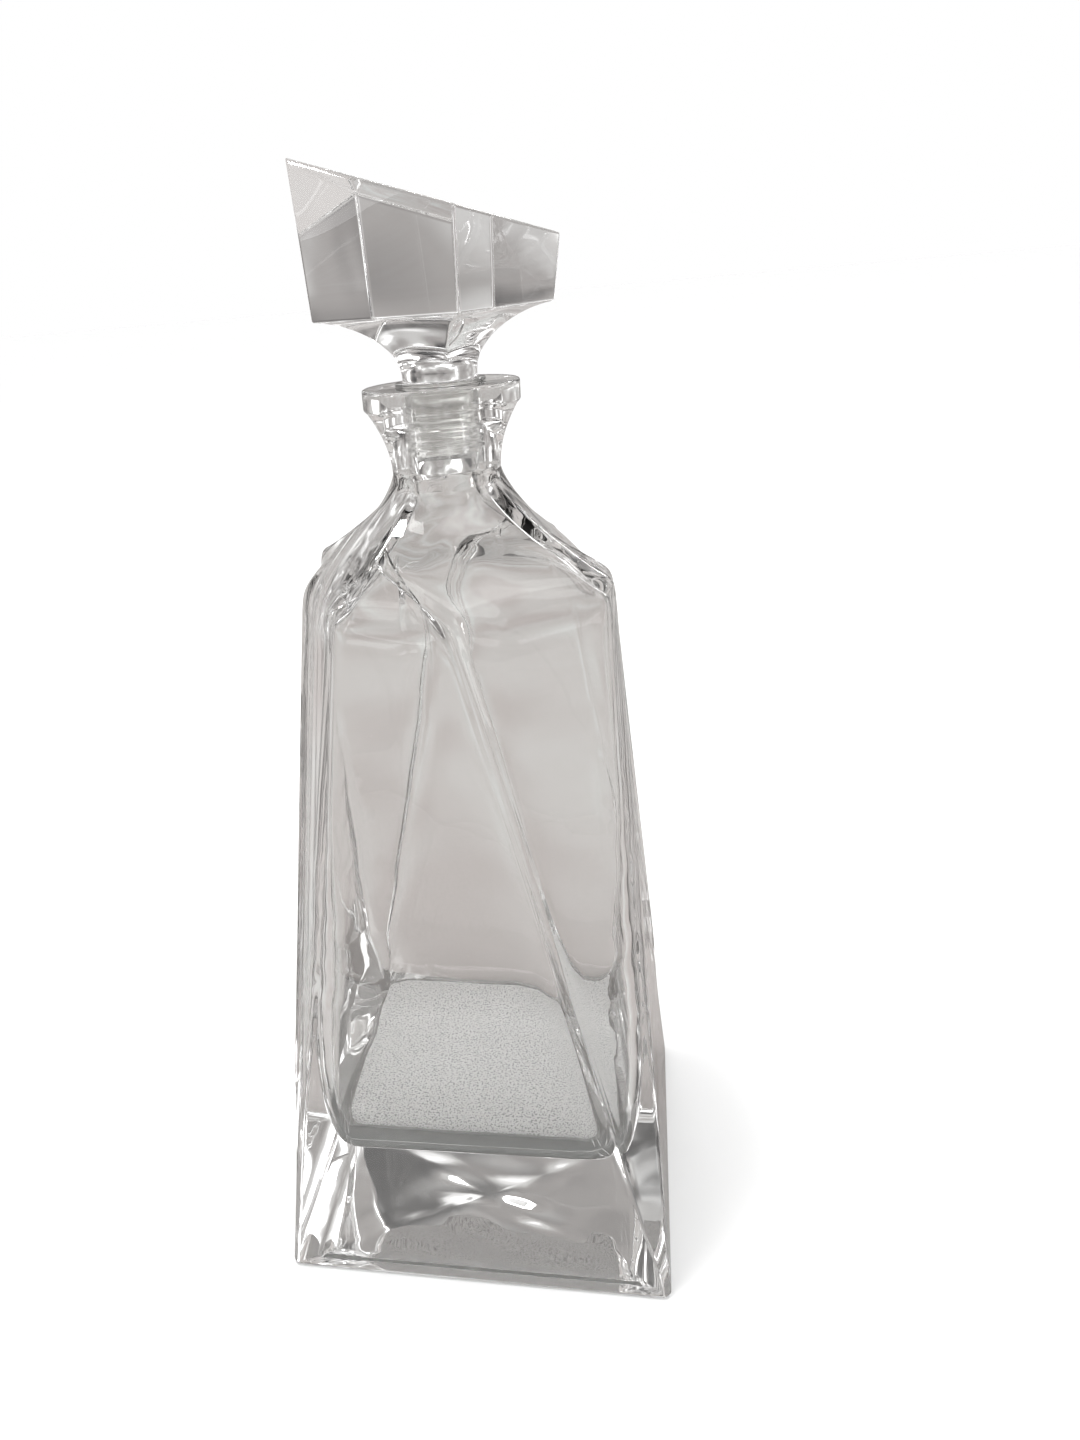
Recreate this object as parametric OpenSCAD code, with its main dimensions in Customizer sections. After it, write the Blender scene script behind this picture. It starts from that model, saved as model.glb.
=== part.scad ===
// Square-based glass decanter whose four folds lean round as they climb to the shoulder,
// with a solid glass stopper sealed in the neck by a ribbed plastic sleeve.
// Origin: centre of the base, on the surface it stands on. +Z up, -Y is the front.

/* [Body] */
// Side of the square base
base_w = 95; // [80:1:115]
// How far each base corner is blunted along both sides
corner_cut = 1.2; // [0.6:0.1:3]
// Bevel round the edge that the base stands on
foot_bevel = 1; // [0.5:0.1:2]
// Height of the shoulder's four corners
shoulder_h = 172; // [140:1:210]
// Side of the shoulder square, corner to corner
shoulder_w = 62.5; // [50:0.5:72]
// Turn of the shoulder square against the base, anticlockwise from above
shoulder_turn = 16.5; // [8:0.1:30]
// How far a fold stands out from the side of the shoulder square
fold_out = 3.8; // [2:0.1:7]
// How far a fold's top lies to the left of the middle of its side
fold_shift = 6.3; // [0:0.1:10]
// How much lower than the shoulder corners the folds end
fold_drop = 4.4; // [2:0.1:8]

/* [Cavity] */
// Glass thickness of the side walls
wall_t = 4; // [3:0.1:6]
// Glass thickness over the shoulder, measured straight down
roof_t = 3.5; // [2.5:0.1:6]
// Thickness of the solid glass base under the cavity
floor_t = 31; // [18:1:45]
// Height over which the cavity rounds in to its floor
bowl_h = 44; // [20:1:60]
// Distance from the base's side plane to the edge of the cavity floor
floor_inset = 13; // [8:0.5:18]

/* [Neck] */
// Rise from the shoulder corners to the narrowest place of the neck
shoulder_rise = 22.2; // [16:0.1:30]
// Height of the neck above its narrowest place, collar included
neck_l = 19.6; // [15:0.1:28]
// Bore of the neck
bore_d = 18.4; // [15:0.1:24]
// Length of the straight bore, down from the mouth
bore_l = 23.7; // [20:0.1:26]
// Glass thickness at the narrowest place of the neck
neck_wall = 3.45; // [2.5:0.05:5]
// How far the collar stands out from the narrowest place
collar_lip = 5.45; // [4:0.05:8]
// Height of the straight band of the collar
collar_h = 4.6; // [3:0.1:8]
// Bevel round the collar's top edge and the mouth
mouth_bevel = 0.6; // [0.3:0.1:1]

/* [Seal] */
// Wall of the plastic sleeve
seal_wall = 0.85; // [0.6:0.05:1.2]
// Height of the sleeve's ribs
rib_h = 0.7; // [0.4:0.05:1]
// Number of ribs
rib_count = 3; // [2:1:4]
// Distance from one rib to the next
rib_pitch = 2.5; // [2:0.1:3]
// Length of the sleeve inside the neck
seal_l = 14.7; // [12:0.1:18]
// Thickness of the flange that lies on the collar
flange_t = 0.8; // [0.5:0.1:1.5]
// How far the flange reaches past the edge of the bore
flange_lap = 1.2; // [0.8:0.1:2]
// Gap between the ribs and the bore, on each side
rib_clear = 0.05; // [0.02:0.01:0.1]
// Gap between the sleeve and the glass plug, on each side
plug_clear = 0.05; // [0.02:0.01:0.1]

/* [Stopper] */
// Length of the glass plug below the mouth
plug_l = 20; // [16:0.1:24]
// Bevel round the lower end of the plug
plug_bevel = 0.8; // [0.4:0.1:1.5]
// How much wider than the plug the stem is, on each side
stem_step = 1.05; // [0.8:0.05:2]
// Height of the straight stem above the flange
stem_h = 1.7; // [1:0.1:5]
// Height of the hollowed skirt between stem and block
skirt_h = 13.1; // [9:0.1:18]
// Side of the block where it meets the skirt
block_w = 39.5; // [32:0.5:48]
// Height of the block along its middle
block_h = 24.3; // [16:0.1:30]
// Outward lean of the block's corners, as millimetres per millimetre of height
block_flare = 0.074; // [0:0.001:0.15]
// Turn of the block against the base, clockwise from above
block_turn = 25; // [0:1:45]
// Slope of the cut across the block's top, in degrees, high on the left
cut_angle = 19.4; // [5:0.1:25]

/* [Hidden] */
glass_tint = [0.86, 0.87, 0.86, 0.45];
seal_tint = [0.93, 0.93, 0.9, 0.6];
edge_steps = 4;                       // points along each of a ring's eight edges
round_fn = 96;

base_half = base_w / 2;
fold_h = shoulder_h - fold_drop;
fold_reach = shoulder_w / 2 + fold_out;
waist_h = shoulder_h + shoulder_rise;
bottle_h = waist_h + neck_l;
bore_r = bore_d / 2;
bore_bottom = bottle_h - bore_l;
waist_r = bore_r + neck_wall;
collar_r = waist_r + collar_lip;
rib_r = bore_r - rib_clear;
sleeve_r = rib_r - rib_h;
sleeve_bore_r = sleeve_r - seal_wall;
plug_r = sleeve_bore_r - plug_clear;
stem_r = plug_r + stem_step;
seat_h = bottle_h + flange_t;
skirt_bottom = seat_h + stem_h;
block_bottom = skirt_bottom + skirt_h;
buried = 1.2;                         // how far a turned solid and a lofted one run into each other
tuck = 0.4;                           // how far inside the other such an end stops

// ---- shapes shared by the bottle's outside and its cavity ----

function turned(p, a) = [p.x * cos(a) - p.y * sin(a), p.x * sin(a) + p.y * cos(a)];
function between(a, b, t) = a + (b - a) * t;

// The body's eight lines, in pairs for each side: the corner line that starts at the side's
// left end, then the fold that starts at its right end. Each is [foot point, top point, top height].
function side_lines(i) = [
    [turned([corner_cut - base_half, -base_half], 90 * i),
     turned([-shoulder_w / 2, -shoulder_w / 2], 90 * i + shoulder_turn), shoulder_h],
    [turned([base_half - corner_cut, -base_half], 90 * i),
     turned([-fold_shift, -fold_reach], 90 * i + shoulder_turn), fold_h]];
body_lines = [for (i = [0:3]) each side_lines(i)];

// Where the eight lines stand at height z, drawn in from the outside by inset
function half_width(z) = between(base_half, (shoulder_w + fold_out) / 2, z / shoulder_h);
function drawn_in(z, inset) = 1 - inset / half_width(z);
function line_point(l, z, inset) =
    let (p = between(l[0], l[1], z / l[2]) * drawn_in(z, inset)) [p.x, p.y, z];

// A closed ring through eight corners with edge_steps points along each edge
function ring(c) = [for (i = [0:7], j = [0:edge_steps - 1]) between(c[i], c[(i + 1) % 8], j / edge_steps)];
function wall_ring(z, inset) = ring([for (l = body_lines) line_point(l, z, inset)]);
function top_ring(drop, inset) = ring([for (l = body_lines) line_point(l, l[2] - drop, inset)]);

// A hollow curve from 0 to 1 that ends upright, as a shoulder runs into a neck
function flare(s) = 1 - pow(1 - pow(s, 1.1), 0.72);
shoulder_steps = [0.15, 0.35, 0.55, 0.75, 0.88, 0.96, 1];
// Rings from an edge ring in to a circle of radius r at height h
function shoulder_rings(edge, r, h) = [for (s = shoulder_steps) [for (p = edge)
    let (flat = [p.x, p.y], q = between(flat, flat / norm(flat) * r, s))
    [q.x, q.y, between(p.z, h, flare(s))]]];

// A closed solid through a stack of rings of equal size, lowest first, with a fan over each end
function centre(ring) = let (n = len(ring), half = floor(n / 2)) (ring[0] + ring[half]) / 2;
module skin(rings) {
    n = len(rings[0]);
    last = len(rings) - 1;
    low = n * len(rings);
    high = low + 1;
    sides = [for (k = [0:last - 1], i = [0:n - 1])
        let (a = k * n + i, b = k * n + (i + 1) % n)
        each [[a, a + n, b], [b, a + n, b + n]]];
    fans = [for (i = [0:n - 1])
        let (j = (i + 1) % n)
        each [[low, i, j], [high, last * n + j, last * n + i]]];
    polyhedron(points = concat([for (r = rings) each r], [centre(rings[0]), centre(rings[last])]),
               faces = concat(sides, fans));
}

// ---- bottle ----

module body_block() {
    edge = top_ring(0, 0);
    skin(concat([wall_ring(0, foot_bevel), wall_ring(foot_bevel, 0)],
                [edge], shoulder_rings(edge, waist_r - tuck, waist_h + buried)));
}

// Neck and collar, turned from one outline
module neck() {
    band_bottom = bottle_h - collar_h;
    under = 0.8;                      // lip under the collar's band
    curve_h = band_bottom - under - waist_h;
    curve = [for (t = [0:0.125:1])
        [waist_r + (collar_lip - under) * pow(t, 1.9), waist_h + curve_h * t]];
    rotate_extrude($fn = round_fn)
        polygon(concat([[0, waist_h - 2 * buried], [waist_r - 2 * tuck, waist_h - 2 * buried]], curve,
            [[collar_r, band_bottom], [collar_r, bottle_h - mouth_bevel],
             [collar_r - mouth_bevel, bottle_h], [0, bottle_h]]));
}

module cavity() {
    bowl = [for (a = [0:15:75])
        wall_ring(floor_t + bowl_h * (1 - cos(a)),
                  wall_t + (floor_inset - wall_t) * (1 - sin(a)))];
    edge = top_ring(roof_t, wall_t);
    skin(concat(bowl, [wall_ring(floor_t + bowl_h, wall_t), edge],
                shoulder_rings(edge, bore_r - tuck, bore_bottom + buried)));
}

module bottle() color(glass_tint) difference() {
    union() {
        body_block();
        neck();
    }
    cavity();
    translate([0, 0, bore_bottom - buried]) cylinder(r = bore_r, h = bore_l + 2 * buried, $fn = round_fn);
    translate([0, 0, bottle_h - mouth_bevel])
        cylinder(r1 = bore_r, r2 = bore_r + 2 * mouth_bevel, h = 2 * mouth_bevel, $fn = round_fn);
}

// ---- seal: a sleeve with lip ribs and a flange, stretched over the plug ----

module seal() color(seal_tint) {
    end = bottle_h - seal_l;
    foot = 1.2;                       // plain stretch below the lowest rib
    rise = rib_pitch * 0.3;
    ribs = [for (i = [0:rib_count - 1]) let (z = end + foot + i * rib_pitch)
        each [[sleeve_r, z], [rib_r, z + rise], [rib_r, z + 1.5 * rise], [sleeve_r, z + 2.5 * rise]]];
    rotate_extrude($fn = round_fn)
        polygon(concat([[sleeve_bore_r, end], [sleeve_r, end]], ribs,
            [[sleeve_r, bottle_h], [bore_r + flange_lap, bottle_h],
             [bore_r + flange_lap, seat_h], [sleeve_bore_r, seat_h]]));
}

// ---- stopper ----

// Point number k of the block's square outline at its bottom, as a plan position
side_points = 2 * edge_steps;
function square_point(k) =
    let (i = floor(k / side_points), t = (k % side_points) / side_points, h = block_w / 2)
    turned(between([-h, -h], [h, -h], t), 90 * i - block_turn);
outline = [for (k = [0:4 * side_points - 1]) square_point(k)];

// Height of the slanting cut over a plan position, and the outline where the flare meets it
function cut_height(p) = block_bottom + block_h - p.x * tan(cut_angle);
function cut_point(p) =
    let (lean = 1 + block_flare * block_h / (block_w / 2) / sqrt(2),
         q = p * lean)
    [q.x, q.y, cut_height(q)];

module skirt_and_block() {
    steps = [0, 0.04, 0.12, 0.25, 0.45, 0.65, 0.8, 0.9];
    sag = function(s) 1 - pow(1 - pow(s, 1.6), 0.55);
    skirt = [for (k = [len(steps) - 1:-1:0]) [for (p = outline)
        let (s = steps[k], q = between(p, p / norm(p) * stem_r, s))
        [q.x, q.y, block_bottom - skirt_h * sag(s)]]];
    stem_end = [for (p = outline) let (q = p / norm(p) * (stem_r - tuck)) [q.x, q.y, skirt_bottom - buried]];
    skin(concat([stem_end], skirt, [[for (p = outline) cut_point(p)]]));
}

module stopper() color(glass_tint) union() {
    skirt_and_block();
    plug_bottom = bottle_h - plug_l;
    rotate_extrude($fn = round_fn)
        polygon([[0, plug_bottom], [plug_r - plug_bevel, plug_bottom], [plug_r, plug_bottom + plug_bevel],
            [plug_r, seat_h], [stem_r, seat_h], [stem_r, skirt_bottom + buried], [0, skirt_bottom + buried]]);
}

bottle();
seal();
stopper();
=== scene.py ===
import math

import bpy
import numpy as np
from mathutils import Matrix, Vector


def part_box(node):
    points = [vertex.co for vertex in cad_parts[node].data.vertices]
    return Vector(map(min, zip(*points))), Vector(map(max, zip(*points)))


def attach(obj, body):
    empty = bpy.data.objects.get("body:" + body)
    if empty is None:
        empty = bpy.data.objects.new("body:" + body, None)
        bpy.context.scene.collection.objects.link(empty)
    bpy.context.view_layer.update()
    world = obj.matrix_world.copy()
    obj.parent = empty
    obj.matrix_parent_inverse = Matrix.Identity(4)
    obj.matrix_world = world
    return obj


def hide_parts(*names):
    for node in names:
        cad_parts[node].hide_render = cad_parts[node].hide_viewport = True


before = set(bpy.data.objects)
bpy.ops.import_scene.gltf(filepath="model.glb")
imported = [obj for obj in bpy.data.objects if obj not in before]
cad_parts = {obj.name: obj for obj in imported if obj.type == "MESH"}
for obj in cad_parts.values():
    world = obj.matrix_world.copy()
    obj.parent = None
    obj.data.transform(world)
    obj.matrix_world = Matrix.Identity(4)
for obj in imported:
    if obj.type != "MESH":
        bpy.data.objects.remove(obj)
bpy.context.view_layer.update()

# ---------------------------------------------------------------------------------------------
# Camera: a hand-held viewpoint a little above the shoulder and to the right of the front,
# close in, so that the base looks broad and the slanting cut of the stopper is seen edge-on.
# ---------------------------------------------------------------------------------------------
camera_data = bpy.data.cameras.new("camera")
camera_data.sensor_width = 36.0
camera_data.lens = 28.45
camera_data.shift_x = 0.0896
camera_data.shift_y = -0.0458
camera_data.clip_start = 0.01
camera = bpy.data.objects.new("camera", camera_data)
bpy.context.scene.collection.objects.link(camera)
bpy.context.scene.camera = camera

camera_place = Vector((0.0460, -0.2620, 0.2370))
look_left = math.radians(12.6)
look_down = math.radians(18.2)
lean = math.radians(5.2)
forward = Vector((-math.sin(look_left) * math.cos(look_down),
                  math.cos(look_left) * math.cos(look_down), -math.sin(look_down)))
level_right = Vector((math.cos(look_left), math.sin(look_left), 0.0))
level_up = level_right.cross(forward)
right = level_right * math.cos(lean) - level_up * math.sin(lean)
up = level_right * math.sin(lean) + level_up * math.cos(lean)
camera.matrix_world = Matrix((
    (right.x, up.x, -forward.x, camera_place.x),
    (right.y, up.y, -forward.y, camera_place.y),
    (right.z, up.z, -forward.z, camera_place.z),
    (0.0, 0.0, 0.0, 1.0)))

# ---------------------------------------------------------------------------------------------
# Studio: a pale table top that runs out to a white room. What the glass bends and mirrors is a
# warm grey room with a dark doorway behind and a few small softboxes, so its edges show.
# ---------------------------------------------------------------------------------------------
scene = bpy.context.scene
scene.view_settings.view_transform = "Standard"
scene.cycles.max_bounces = 28
scene.cycles.transmission_bounces = 24
scene.cycles.glossy_bounces = 16
scene.cycles.sample_clamp_indirect = 6.0


def new_material(name):
    made = bpy.data.materials.new(name)
    made.use_nodes = True
    return made, made.node_tree.nodes, made.node_tree.links


def ramp_between(nodes, stops):
    """A smooth run of tones. Each stop is (place, red, green, blue)."""
    ramp = nodes.new("ShaderNodeValToRGB")
    ramp.color_ramp.interpolation = "EASE"
    tones = ramp.color_ramp.elements
    while len(tones) < len(stops):
        tones.new(0.5)
    for tone, (place, red, green, blue) in zip(tones, stops):
        tone.position = place
        tone.color = (red, green, blue, 1.0)
    return ramp


world = bpy.data.worlds.new("room")
scene.world = world
world.use_nodes = True
nodes, links = world.node_tree.nodes, world.node_tree.links
nodes.clear()
seen = nodes.new("ShaderNodeLightPath")
direction = nodes.new("ShaderNodeTexCoord")
turned_room = nodes.new("ShaderNodeMapping")
turned_room.inputs["Location"].default_value = (9.1, 2.2, 6.4)
blotches = nodes.new("ShaderNodeTexNoise")
blotches.inputs["Scale"].default_value = 2.3
blotches.inputs["Detail"].default_value = 2.0
room_tones = ramp_between(nodes, ((0.36, 0.07, 0.068, 0.07), (0.47, 0.42, 0.40, 0.39),
                                  (0.54, 0.66, 0.65, 0.64), (0.60, 2.2, 2.2, 2.2)))
toward = nodes.new("ShaderNodeVectorMath")
toward.operation = "DOT_PRODUCT"
toward.inputs[1].default_value = (-0.27, 0.68, 0.68)
uneven = nodes.new("ShaderNodeMath")
uneven.operation = "MULTIPLY_ADD"
uneven.inputs[1].default_value = -0.06
doorway = ramp_between(nodes, ((0.948, 0.0, 0.0, 0.0), (0.970, 1.0, 1.0, 1.0)))
shaded = nodes.new("ShaderNodeMix")
shaded.data_type = "RGBA"
shaded.inputs["B"].default_value = (0.10, 0.098, 0.098, 1.0)
grey_room = nodes.new("ShaderNodeBackground")
links.new(direction.outputs["Generated"], turned_room.inputs["Vector"])
links.new(turned_room.outputs["Vector"], blotches.inputs["Vector"])
links.new(blotches.outputs["Fac"], room_tones.inputs["Fac"])
links.new(direction.outputs["Generated"], toward.inputs[0])
links.new(blotches.outputs["Fac"], uneven.inputs[0])
links.new(toward.outputs["Value"], uneven.inputs[2])
links.new(uneven.outputs["Value"], doorway.inputs["Fac"])
links.new(room_tones.outputs["Color"], shaded.inputs["A"])
links.new(doorway.outputs["Color"], shaded.inputs["Factor"])
links.new(shaded.outputs["Result"], grey_room.inputs["Color"])
white_room = nodes.new("ShaderNodeBackground")
white_room.inputs["Color"].default_value = (1.0, 1.0, 1.0, 1.0)
fill_light = nodes.new("ShaderNodeBackground")
fill_light.inputs["Color"].default_value = (1.0, 1.0, 1.0, 1.0)
fill_light.inputs["Strength"].default_value = 1.6
soft_light = nodes.new("ShaderNodeMixShader")
room = nodes.new("ShaderNodeMixShader")
out = nodes.new("ShaderNodeOutputWorld")
links.new(seen.outputs["Diffuse Depth"], soft_light.inputs["Fac"])
links.new(grey_room.outputs[0], soft_light.inputs[1])
links.new(fill_light.outputs[0], soft_light.inputs[2])
links.new(seen.outputs["Is Camera Ray"], room.inputs["Fac"])
links.new(soft_light.outputs[0], room.inputs[1])
links.new(white_room.outputs[0], room.inputs[2])
links.new(room.outputs[0], out.inputs["Surface"])

table_mesh = bpy.data.meshes.new("table_top")
far = 12.0
just_under = -0.0003                     # a hair under the foot, so that no two faces share a plane
table_mesh.from_pydata([(-far, -far, just_under), (far, -far, just_under), (far, far, just_under),
                        (-far, far, just_under)], [], [(0, 1, 2, 3)])
table = bpy.data.objects.new("table_top", table_mesh)
scene.collection.objects.link(table)
pale, nodes, links = new_material("pale_table")
shader = nodes["Principled BSDF"]
shader.inputs["Roughness"].default_value = 0.7
shader.inputs["Specular IOR Level"].default_value = 0.0
path = nodes.new("ShaderNodeLightPath")
place = nodes.new("ShaderNodeTexCoord")
clouds = nodes.new("ShaderNodeTexNoise")
clouds.inputs["Scale"].default_value = 3.5
clouds.inputs["Detail"].default_value = 2.0
cloud_tones = ramp_between(nodes, ((0.38, 0.275, 0.255, 0.247), (0.50, 0.315, 0.303, 0.295),
                                   (0.62, 0.355, 0.358, 0.35)))
tone = nodes.new("ShaderNodeMix")
tone.data_type = "RGBA"
tone.inputs["B"].default_value = (0.63, 0.63, 0.63, 1.0)
links.new(place.outputs["Object"], clouds.inputs["Vector"])
links.new(clouds.outputs["Fac"], cloud_tones.inputs["Fac"])
links.new(cloud_tones.outputs["Color"], tone.inputs["A"])
links.new(path.outputs["Is Camera Ray"], tone.inputs["Factor"])
links.new(tone.outputs["Result"], shader.inputs["Base Color"])
table_mesh.materials.append(pale)


def softbox(name, place, aim, size, brightness):
    data = bpy.data.lights.new(name, "AREA")
    data.shape = "RECTANGLE"
    data.size, data.size_y = size
    data.energy = brightness * math.pi * size[0] * size[1]
    lamp = bpy.data.objects.new(name, data)
    scene.collection.objects.link(lamp)
    lamp.location = place
    lamp.rotation_euler = (Vector(aim) - Vector(place)).to_track_quat("-Z", "Y").to_euler()
    return lamp


middle = (0.0, 0.0, 0.12)
softbox("softbox_above", (-0.25, -0.1, 1.3), middle, (0.28, 0.14), 60.0)
softbox("softbox_left", (-1.1, -0.5, 0.55), middle, (0.08, 0.5), 14.0)
softbox("softbox_right", (1.0, -0.6, 0.8), middle, (0.08, 0.5), 14.0)
softbox("softbox_back", (0.5, 1.2, 0.9), middle, (0.3, 0.12), 14.0)
softbox("softbox_high_back", (-0.1, 0.85, 1.25), middle, (0.5, 0.06), 30.0)

# ---------------------------------------------------------------------------------------------
# Bottle: one piece of clear pressed glass. A square foot, a thick solid base, four folds that
# lean to the left as they climb, a flared neck and a banded collar. Fire polished all over.
# ---------------------------------------------------------------------------------------------
MM = 0.001
low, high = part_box("bottle")
bottle_h = high.z
base_half = -low.x
corner_cut = 1.2 * MM
foot_bevel = 1.0 * MM
shoulder_to_mouth = 41.8 * MM
shoulder_h = bottle_h - shoulder_to_mouth
shoulder_half = 31.25 * MM
shoulder_turn = math.radians(16.5)
fold_out = 3.8 * MM
fold_shift = 6.3 * MM
fold_drop = 4.4 * MM
fold_h = shoulder_h - fold_drop
shoulder_rise = 22.2 * MM
waist_h = shoulder_h + shoulder_rise
waist_r = 12.65 * MM
bore_r = 9.2 * MM
bore_l = 23.7 * MM
bore_bottom = bottle_h - bore_l
wall_t = 4.0 * MM
roof_t = 3.5 * MM
floor_t = 31.0 * MM
bowl_h = 44.0 * MM
floor_inset = 13.0 * MM
corner_thin = 2.0 * MM                   # how much thinner the wall is where it turns a corner


def turned(x, y, angle):
    return np.array((x * math.cos(angle) - y * math.sin(angle),
                     x * math.sin(angle) + y * math.cos(angle)))


def blend_in(x):
    x = min(max(x, 0.0), 1.0)
    return x * x * (3 - 2 * x)


ARC_STEPS = 8                            # points round each of the eight lines of a ring
EDGE_STEPS = 10                          # points from one rounding to the next
PER_LINE = ARC_STEPS + EDGE_STEPS
LINE_AT = ARC_STEPS // 2                 # the first line's own place in a ring


def ring_through(corners, reach, arc_steps=ARC_STEPS, edge_steps=EDGE_STEPS):
    """A closed ring along straight edges, with each corner rounded over its own reach."""
    corners = np.asarray(corners, float)
    count = len(corners)
    starts, arcs = [], []
    for i in range(count):
        here = corners[i]
        before, after = corners[i - 1] - here, corners[(i + 1) % count] - here
        span_a, span_b = np.linalg.norm(before), np.linalg.norm(after)
        d = min(reach[i], 0.46 * span_a, 0.46 * span_b)
        a, b = here + before * d / span_a, here + after * d / span_b
        t = np.linspace(0, 1, arc_steps + 1)[:, None]
        arcs.append((1 - t) ** 2 * a + 2 * t * (1 - t) * here + t ** 2 * b)
    points = []
    for i in range(count):
        points.extend(arcs[i])
        a, b = arcs[i][-1], arcs[(i + 1) % count][0]
        points.extend(a + (b - a) * (0.5 - 0.5 * math.cos(math.pi * k / edge_steps))
                      for k in range(1, edge_steps))
    return np.array(points)


def flare(s):
    return 1 - (1 - s ** 1.1) ** 0.72


def body_corners(z_share, inset, drop=0.0, thin=0.0):
    """The corner lines and folds at a share of their own height, drawn in from the outside."""
    found = []
    for side in range(4):
        quarter = side * math.pi / 2
        foot_a = turned(corner_cut - base_half, -base_half, quarter)
        foot_b = turned(base_half - corner_cut, -base_half, quarter)
        top_a = turned(-shoulder_half, -shoulder_half, quarter + shoulder_turn)
        top_b = turned(-fold_shift, -shoulder_half - fold_out, quarter + shoulder_turn)
        for foot, top, top_h in ((foot_a, top_a, shoulder_h), (foot_b, top_b, fold_h)):
            share = z_share * (top_h - drop) / top_h
            plan = foot + (top - foot) * share
            half = base_half + (shoulder_half + fold_out / 2 - base_half) * share
            kept = inset - thin * z_share if top_h == shoulder_h else inset
            plan = plan * (1 - kept / half)
            found.append((plan[0], plan[1], share * top_h))
    return np.array(found)


foot_reach, corner_reach, fold_reach = 0.6 * MM, 4 * MM, 2.2 * MM


def edge_reach(share):
    """How far the rounding of the corner lines and of the folds reaches, lowest at the foot."""
    return [foot_reach + (corner_reach - foot_reach) * share ** 1.3,
            foot_reach + (fold_reach - foot_reach) * share ** 1.6] * 4


FOLD_ALONG = 0.395                       # where a fold meets the shoulder, from corner to corner


def shoulder_ring(s, inset, drop, end_r, end_h, corner_top, fold_top, swing, thin=0.0):
    """The shoulder at a share s of its way in from the edge to the neck, its folds swung round."""
    fade = blend_in(s / 0.42)
    corners = body_corners(1.0, inset, drop, thin)
    for side in range(4):
        a, b = corners[2 * side], corners[(2 * side + 2) % 8]
        fold = corners[2 * side + 1]
        at_edge = a + (b - a) * FOLD_ALONG
        swung = a + (b - a) * (FOLD_ALONG - swing * fade)
        corners[2 * side + 1] = swung + (fold - at_edge) * (1 - fade) ** 1.4
    ring = ring_through(corners, [corner_top, fold_top] * 4)
    plan = ring[:, :2]
    circle = plan / np.linalg.norm(plan, axis=1)[:, None] * end_r
    plan = plan + (circle - plan) * s
    height = ring[:, 2] + (end_h - ring[:, 2]) * flare(s)
    return np.column_stack((plan, height))


def over_the_shoulder(below, top, reach):
    """Rings from the wall over the shoulder's edge to the neck, each point over its own reach."""
    shares = np.linspace(0, 1, 121)
    table_of_rings = np.array([shoulder_ring(share, **top) for share in shares])
    edge, end = table_of_rings[0], table_of_rings[-1]
    first = reach / np.linalg.norm((end - edge)[:, :2], axis=1)

    def ring_at(share):
        return np.array([[np.interp(share[k], shares, table_of_rings[:, k, axis]) for axis in range(3)]
                         for k in range(len(edge))])

    down = below - edge
    start = edge + down * (reach / np.linalg.norm(down, axis=1))[:, None]
    stop = ring_at(first)
    made = []
    for t in np.linspace(0, 1, 17):
        u = 1 - t
        near_start, near_stop = u ** 5 + 2.5 * u ** 4 * t, t ** 5 + 2.5 * t ** 4 * u
        made.append(near_start * start + near_stop * stop + (1 - near_start - near_stop) * edge)
    for t in np.linspace(0, 1, 25)[1:-1]:
        made.append(ring_at(first + (1 - first) * (1 - (1 - t) ** 1.5)))
    return made


def circle_ring(r, z, like):
    plan = like[:, :2]
    plan = plan / np.linalg.norm(plan, axis=1)[:, None] * r
    return np.column_stack((plan, np.full(len(plan), z)))


def edge_weights(soft, at_corner, at_fold):
    """Reach of the rounding over the shoulder's edge: crisp at the corners, soft between."""
    weights = []
    for k in range(8 * PER_LINE):
        u = (k - LINE_AT) / PER_LINE        # whole numbers fall on the eight lines
        near = (0.5 + 0.5 * math.cos(2 * math.pi * u)) ** 1.5
        crisp = at_corner if round(u) % 2 == 0 else at_fold
        weights.append(soft + (crisp - soft) * near)
    return np.array(weights)


def wall_shares(first, last, count):
    return [first + (last - first) * k / count for k in range(count + 1)]


outer = []
foot = ring_through(body_corners(0.0, 0.0), [foot_reach] * 8)
rim_w = 5.0 * MM
recess = 0.7 * MM
inner_rim = 1 - (rim_w + foot_bevel) / base_half
wave_height = 0.42 * MM
for scale in (0.1, 0.2, 0.3, 0.4, 0.5, 0.6, 0.7, 0.78, inner_rim - 0.02):
    ring = np.column_stack((foot[:, :2] * scale, np.full(len(foot), recess)))
    x, y = ring[:, 0] / MM, ring[:, 1] / MM
    waves = np.sin(x / 5.5 + 0.06 * y) * np.sin(y / 3.8 + 0.9)
    ring[:, 2] += wave_height * waves * (1 - np.abs(ring[:, :2]).max() / base_half)
    outer.append(ring)
for scale, z in ((inner_rim - 0.01, 0.8 * recess), (inner_rim, 0.2 * recess), (inner_rim + 0.01, 0.0)):
    outer.append(np.column_stack((foot[:, :2] * scale, np.full(len(foot), z))))
underside_rings = len(outer)
for angle in np.linspace(0, math.pi / 2, 6):
    inset = foot_bevel * (1 - math.sin(angle))
    z = foot_bevel * (1 - math.cos(angle))
    outer.append(ring_through(body_corners(z / shoulder_h, inset), [foot_reach] * 8))
edge_share = 0.87                        # where the rounding over the shoulder begins
for share in wall_shares(0.02, edge_share, 36):
    outer.append(ring_through(body_corners(share, 0.0), edge_reach(share)))
outer_top = dict(inset=0.0, drop=0.0, end_r=waist_r, end_h=waist_h,
                 corner_top=corner_reach, fold_top=fold_reach, swing=0.30)
edge = shoulder_ring(0.0, **outer_top)
outer.extend(over_the_shoulder(outer[-1], outer_top, edge_weights(14 * MM, 3 * MM, 8 * MM)))


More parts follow.
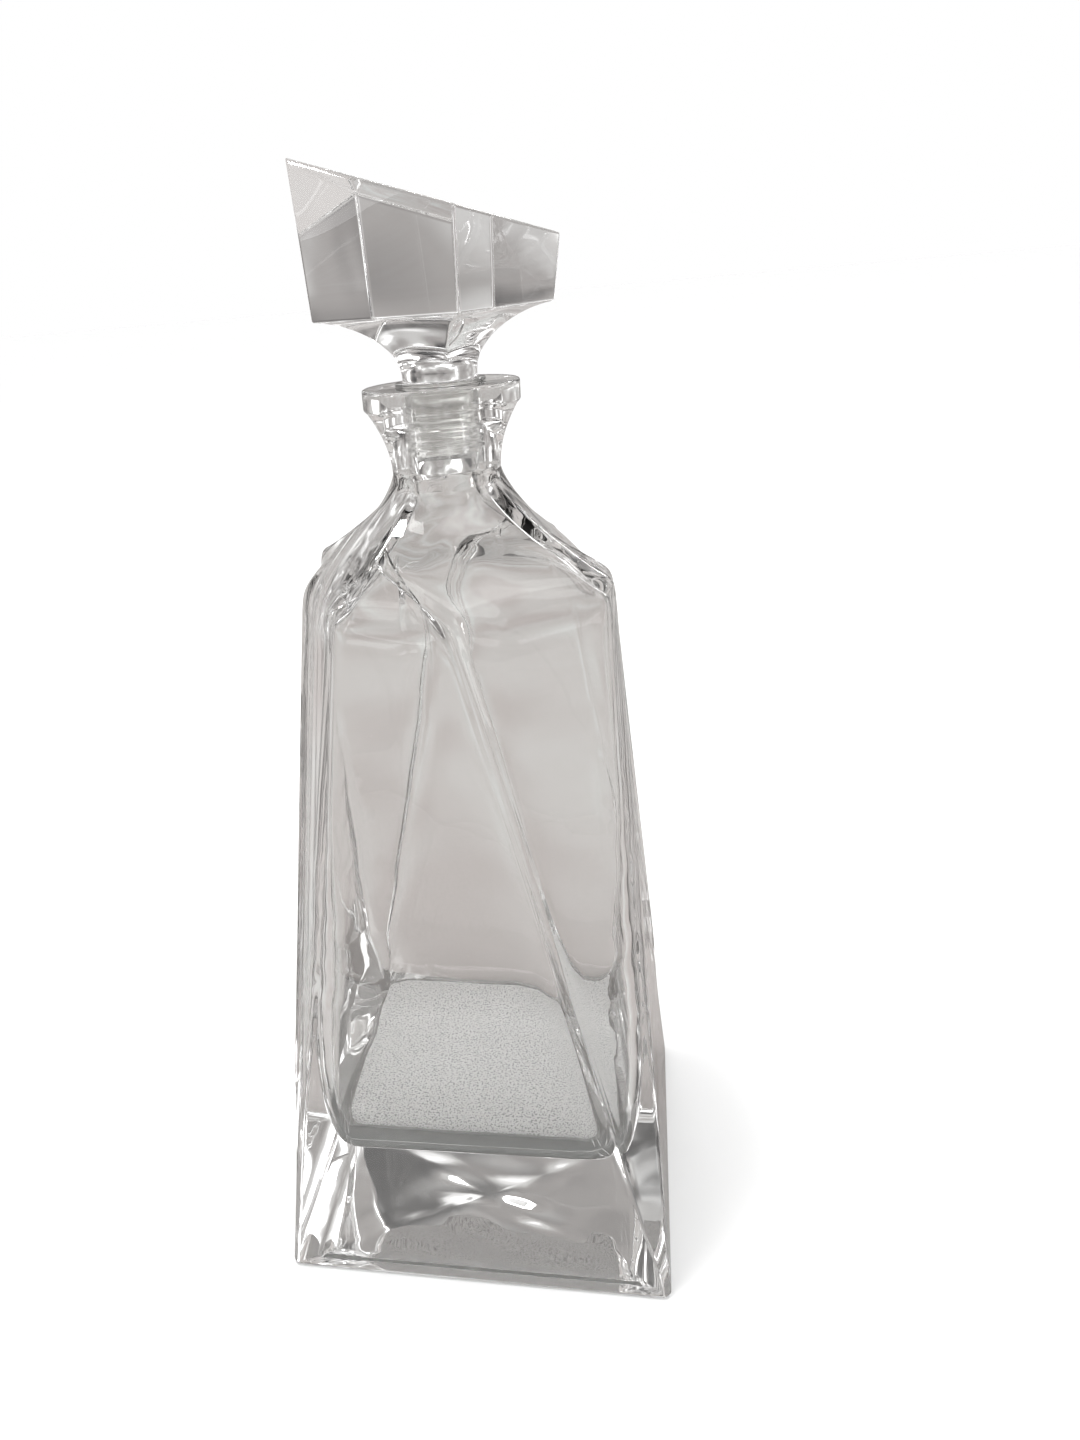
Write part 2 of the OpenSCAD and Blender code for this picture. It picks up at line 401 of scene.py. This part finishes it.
def crested(ring):
    """The folds stand up as a narrow rounded crest, wider towards the shoulder."""
    z = ring[:, 2]
    pushed = ring.copy()
    for fold in range(4):
        middle = ring[(2 * fold + 1) * PER_LINE + LINE_AT]
        level = min(max(middle[2] / fold_h, 0.0), 1.0)
        width = (0.7 + 1.3 * level) * MM
        rise = (0.8 + 1.1 * level) * MM * blend_in((level - 0.12) / 0.2)
        past = np.linalg.norm(middle[:2]) / np.linalg.norm((shoulder_half + fold_out, fold_shift))
        if middle[2] > fold_h:
            rise *= 1 - blend_in((1.0 - past) / 0.25)
        away = np.linalg.norm(ring - middle, axis=1)
        lift = rise * np.exp(-(away / width) ** 2)
        outward = ring[:, :2] / np.linalg.norm(ring[:, :2], axis=1)[:, None]
        pushed[:, :2] += outward * lift[:, None]
    return pushed


outer[underside_rings:] = [crested(ring) for ring in outer[underside_rings:]]
collar_h, collar_lip, under_lip = 4.6 * MM, 5.45 * MM, 0.8 * MM
band_bottom = bottle_h - collar_h
for t in np.linspace(0, 1, 14):
    r = waist_r + (collar_lip - under_lip) * t ** 1.9
    outer.append(circle_ring(r, waist_h + (band_bottom - under_lip - waist_h) * t, edge))
collar_r = waist_r + collar_lip
soft = 0.5 * MM
for r, z in ((collar_r - 0.3 * MM, band_bottom - 0.3 * MM), (collar_r - 0.1 * MM, band_bottom - 0.05 * MM),
             (collar_r, band_bottom + 0.3 * MM), (collar_r, bottle_h - 2 * soft),
             (collar_r, bottle_h - soft), (collar_r - 0.15 * MM, bottle_h - 0.15 * MM),
             (collar_r - soft, bottle_h), (collar_r - 2 * soft, bottle_h),
             (bore_r + 3 * soft, bottle_h), (bore_r + 1.4 * soft, bottle_h),
             (bore_r + 0.5 * soft, bottle_h - 0.25 * soft), (bore_r + 0.1 * soft, bottle_h - soft),
             (bore_r, bottle_h - 2 * soft)):
    outer.append(circle_ring(r, z, edge))     # the band, its rolled lip and the mouth
outer.append(circle_ring(bore_r, (bottle_h + bore_bottom) / 2, edge))

inside = []
inner_top = dict(inset=wall_t, drop=roof_t, end_r=bore_r, end_h=bore_bottom,
                 corner_top=1.2 * MM, fold_top=11 * MM, swing=0.22, thin=corner_thin)
for scale in (0.15, 0.4, 0.65, 0.85):
    ring = ring_through(body_corners(floor_t / shoulder_h, floor_inset), [6 * MM] * 8)
    inside.append(np.column_stack((ring[:, :2] * scale, np.full(len(ring), floor_t))))
for angle in np.linspace(0, math.pi / 2, 30):
    inset = wall_t + (floor_inset - wall_t) * (1 - math.sin(angle))
    share = (floor_t + bowl_h * (1 - math.cos(angle))) / shoulder_h
    ring = ring_through(body_corners(share, inset, 0.0, corner_thin), [7 * MM, 8 * MM] * 4)
    level = np.full(len(ring), share * shoulder_h)
    ring[:, 2] = level + (ring[:, 2] - level) * (angle / (math.pi / 2)) ** 2
    inside.append(ring)
bowl_share = 0.44                        # where the bowl has run out into the wall
for share in wall_shares(bowl_share, edge_share, 42):
    rise = (share - bowl_share) / (edge_share - bowl_share)
    inside.append(ring_through(body_corners(share, wall_t, 0.0, corner_thin),
                               [(7 - 5.8 * blend_in(rise * 1.5)) * MM, (8 + 3 * rise) * MM] * 4))
inside.extend(over_the_shoulder(inside[-1], inner_top, edge_weights(15 * MM, 4 * MM, 9 * MM)))


RIPPLE = 0.16 * MM


def washboard(ring):
    """The faint ripples that the blowing leaves inside, strongest low down at the corners."""
    level = ring[:, 2].mean() / MM
    strength = blend_in((level - 45) / 30) * (1 - blend_in((level - 90) / 60))
    turn_by = np.arctan2(ring[:, 1], ring[:, 0])
    z = ring[:, 2]
    at_corner = np.array([(0.5 + 0.5 * math.cos(math.pi * (k - LINE_AT) / PER_LINE)) ** 2
                          for k in range(len(ring))])
    wave = (np.sin(z / (1.5 * MM) + 3.1 * np.sin(5 * turn_by)) * 0.6
            + np.sin(z / (2.7 * MM) - 11 * turn_by) * 0.8)
    push = 1 + RIPPLE * wave * at_corner * strength / np.linalg.norm(ring[:, :2], axis=1)
    return np.column_stack((ring[:, :2] * push[:, None], z))


inside = [washboard(ring) for ring in inside]
inside.append(circle_ring(bore_r, bore_bottom, edge))
inside.append(circle_ring(bore_r, bore_bottom + 3 * MM, edge))


def skin_mesh(name, rings, first_end, last_end):
    """A smooth closed mesh through a stack of rings, with a point at each end."""
    n = len(rings[0])
    verts = [tuple(p) for ring in rings for p in ring]
    faces = []
    for k in range(len(rings) - 1):
        for i in range(n):
            a, b = k * n + i, k * n + (i + 1) % n
            faces.append((a, b, b + n, a + n))
    verts += [tuple(first_end), tuple(last_end)]
    first, last = len(verts) - 2, len(verts) - 1
    top = (len(rings) - 1) * n
    for i in range(n):
        j = (i + 1) % n
        faces.append((first, j, i))
        faces.append((last, top + i, top + j))
    mesh = bpy.data.meshes.new(name)
    mesh.from_pydata(verts, [], faces)
    mesh.validate()
    mesh.polygons.foreach_set("use_smooth", [True] * len(mesh.polygons))
    mesh.update()
    made = bpy.data.objects.new(name, mesh)
    scene.collection.objects.link(made)
    return made


bottle = skin_mesh("bottle_glass", outer + inside[::-1], (0, 0, recess), (0, 0, floor_t))


def clear_glass(name, tint, ripple_scale, ripple_depth):
    """Clear pressed glass: polished, with faint slow ripples from the mould."""
    made, nodes, links = new_material(name)
    shader = nodes["Principled BSDF"]
    shader.inputs["Base Color"].default_value = (*tint, 1.0)
    shader.inputs["Roughness"].default_value = 0.0
    shader.inputs["IOR"].default_value = 1.52
    shader.inputs["Transmission Weight"].default_value = 1.0
    place = nodes.new("ShaderNodeTexCoord")
    ripple = nodes.new("ShaderNodeTexNoise")
    ripple.inputs["Scale"].default_value = ripple_scale
    ripple.inputs["Detail"].default_value = 1.0
    bump = nodes.new("ShaderNodeBump")
    bump.inputs["Distance"].default_value = ripple_depth
    bump.inputs["Strength"].default_value = 1.0
    links.new(place.outputs["Object"], ripple.inputs["Vector"])
    links.new(ripple.outputs["Fac"], bump.inputs["Height"])
    links.new(bump.outputs["Normal"], shader.inputs["Normal"])
    return made


pressed = clear_glass("pressed_glass", (0.93, 0.93, 0.925), 55.0, 0.00012)
bottle.data.materials.append(pressed)
stipple, nodes, links = new_material("stippled_glass")
shader = nodes["Principled BSDF"]
shader.inputs["Roughness"].default_value = 0.16
shader.inputs["IOR"].default_value = 1.52
shader.inputs["Transmission Weight"].default_value = 0.3
place = nodes.new("ShaderNodeTexCoord")
grains = nodes.new("ShaderNodeTexNoise")
grains.inputs["Scale"].default_value = 1900.0
grains.inputs["Detail"].default_value = 2.0
pits = nodes.new("ShaderNodeBump")
pits.inputs["Distance"].default_value = 0.0006
# The grain's low points, where the bump sinks into pits, are coloured grey as painted shade; its raised
# points are near white, the pale scatter of the frosted floor.
pit_shade_and_frost_tones = ramp_between(nodes, ((0.36, 0.45, 0.455, 0.45), (0.50, 0.98, 0.97, 0.96)))
links.new(place.outputs["Object"], grains.inputs["Vector"])
links.new(grains.outputs["Fac"], pits.inputs["Height"])
links.new(grains.outputs["Fac"], pit_shade_and_frost_tones.inputs["Fac"])
links.new(pit_shade_and_frost_tones.outputs["Color"], shader.inputs["Base Color"])
links.new(pits.outputs["Normal"], shader.inputs["Normal"])
bottle.data.materials.append(stipple)
for face in bottle.data.polygons:
    if abs(face.center.z - floor_t) < 0.3 * MM:
        face.material_index = 1
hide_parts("bottle")
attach(bottle, "bottle")

# ---------------------------------------------------------------------------------------------
# Seal: a soft clear plastic sleeve with three lip ribs and a thin flange. It is stretched over
# the stopper's plug, its ribs grip the bore, and its flange lies on the collar.
# ---------------------------------------------------------------------------------------------
low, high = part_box("seal")
sleeve_end, flange_top = low.z, high.z
rib_r = bore_r - 0.05 * MM
sleeve_r = rib_r - 0.7 * MM
sleeve_bore = sleeve_r - 0.85 * MM
flange_r = high.x
outline = [(sleeve_bore, sleeve_end + 0.2 * MM), (sleeve_bore + 0.2 * MM, sleeve_end),
           (sleeve_r - 0.2 * MM, sleeve_end), (sleeve_r, sleeve_end + 0.2 * MM)]
rib_pitch, rib_foot = 2.5 * MM, 1.2 * MM
for rib in range(3):
    z = sleeve_end + rib_foot + rib * rib_pitch
    for t in np.linspace(0, 1, 9):
        outline.append((sleeve_r + (rib_r - sleeve_r) * math.sin(math.pi * t) ** 0.8,
                        z + t * 0.75 * rib_pitch))
outline += [(sleeve_r, bottle_h - 0.3 * MM), (sleeve_r + 0.3 * MM, bottle_h),
            (flange_r - 0.2 * MM, bottle_h),
            (flange_r, bottle_h + 0.2 * MM), (flange_r, flange_top - 0.2 * MM),
            (flange_r - 0.2 * MM, flange_top), (sleeve_bore + 0.2 * MM, flange_top),
            (sleeve_bore, flange_top - 0.2 * MM)]
n = 96                                   # points round the sleeve
turn = np.linspace(0, 2 * math.pi, n + 1)[:-1]
rings = [np.column_stack((r * np.cos(turn), r * np.sin(turn), np.full(n, z))) for r, z in outline]
verts = [tuple(p) for ring in rings for p in ring]
faces = []
for k in range(len(rings)):
    for i in range(n):
        a, b = k * n + i, k * n + (i + 1) % n
        c = ((k + 1) % len(rings)) * n
        faces.append((a, b, c + (i + 1) % n, c + i))
seal_mesh = bpy.data.meshes.new("seal_sleeve")
seal_mesh.from_pydata(verts, [], faces)
seal_mesh.polygons.foreach_set("use_smooth", [True] * len(faces))
seal = bpy.data.objects.new("seal_sleeve", seal_mesh)
scene.collection.objects.link(seal)
plastic, nodes, links = new_material("clear_plastic")
shader = nodes["Principled BSDF"]
shader.inputs["Base Color"].default_value = (0.95, 0.95, 0.94, 1.0)
shader.inputs["Roughness"].default_value = 0.12
shader.inputs["IOR"].default_value = 1.46
shader.inputs["Transmission Weight"].default_value = 1.0
seal_mesh.materials.append(plastic)
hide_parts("seal")
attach(seal, "seal")

# ---------------------------------------------------------------------------------------------
# Stopper: one solid piece of clear glass with ground and polished faces. A round plug and stem,
# a hollowed skirt that opens to a square, and a leaning square block with a slanting cut.
# ---------------------------------------------------------------------------------------------
low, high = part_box("stopper")
plug_bottom = low.z
play = 0.05 * MM
plug_r = sleeve_bore - play
stem_r = plug_r + 1.05 * MM
stem_h, skirt_h = 1.7 * MM, 13.1 * MM
skirt_bottom = flange_top + stem_h
block_bottom = skirt_bottom + skirt_h
block_half = 19.75 * MM
block_h = 24.3 * MM
block_turn = math.radians(25.0)
cut_slope = math.tan(math.radians(19.4))
block_lean = 1 + 0.074 * block_h / block_half / math.sqrt(2)
block_round = 0.7 * MM


def square_corners(half, z):
    found = []
    for side in range(4):
        plan = turned(-half, -half, side * math.pi / 2 - block_turn)
        found.append((plan[0], plan[1], z))
    return np.array(found)


def square_ring(half, z, reach):
    return ring_through(square_corners(half, z), [reach] * 4, 8, 24)


def skirt_ring(s):
    ring = square_ring(block_half, block_bottom, 1.5 * MM)
    plan = ring[:, :2]
    circle = plan / np.linalg.norm(plan, axis=1)[:, None] * stem_r
    plan = plan + (circle - plan) * s
    sag = 1 - (1 - s ** 1.6) ** 0.55
    z = block_bottom - (block_bottom - skirt_bottom) * sag
    return np.column_stack((plan, np.full(len(plan), z)))


like = square_ring(block_half, block_bottom, 1.5 * MM)
shape = []
for r, z in ((plug_r * 0.3, plug_bottom), (plug_r - 1.4 * MM, plug_bottom),
             (plug_r - 0.8 * MM, plug_bottom + 0.05 * MM), (plug_r - 0.3 * MM, plug_bottom + 0.3 * MM),
             (plug_r, plug_bottom + 0.8 * MM), (plug_r, flange_top - 0.3 * MM),
             (plug_r + 0.05 * MM, flange_top), (stem_r - 0.3 * MM, flange_top),
             (stem_r, flange_top + 0.3 * MM), (stem_r, skirt_bottom)):
    shape.append(circle_ring(r, z, like))
for s in (0.985, 0.95, 0.9, 0.84, 0.77, 0.7, 0.62, 0.54, 0.46, 0.38, 0.3, 0.23, 0.16, 0.1, 0.05):
    shape.append(skirt_ring(s))
arris = 0.6 * MM
for angle in np.linspace(0, math.pi / 2, 5):
    shape.append(square_ring(block_half - arris * (1 - math.sin(angle)),
                             block_bottom + arris * (1 - math.cos(angle)), block_round))


def cut_ring(scale, raise_by):
    """The block's outline on the slanting cut, drawn in by scale and raised."""
    ring = square_ring(block_half * block_lean, 0.0, block_round)
    ring[:, :2] *= scale
    ring[:, 2] = block_bottom + block_h - ring[:, 0] * cut_slope + raise_by
    return ring


side_low, side_high = shape[-1], cut_ring(1.0, -0.5 * MM)
for t in (0.25, 0.5, 0.75, 0.98):
    shape.append(side_low + (side_high - side_low) * t)
shape += [side_high, cut_ring(0.998, -0.15 * MM), cut_ring(0.988, 0.0), cut_ring(0.97, 0.0),
          cut_ring(0.6, 0.0), cut_ring(0.2, 0.0)]
stopper = skin_mesh("stopper_glass", shape, (0, 0, plug_bottom), (0, 0, block_bottom + block_h))
polished = clear_glass("polished_glass", (0.93, 0.93, 0.93), 40.0, 0.0001)
stopper.data.materials.append(polished)
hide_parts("stopper")
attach(stopper, "stopper")
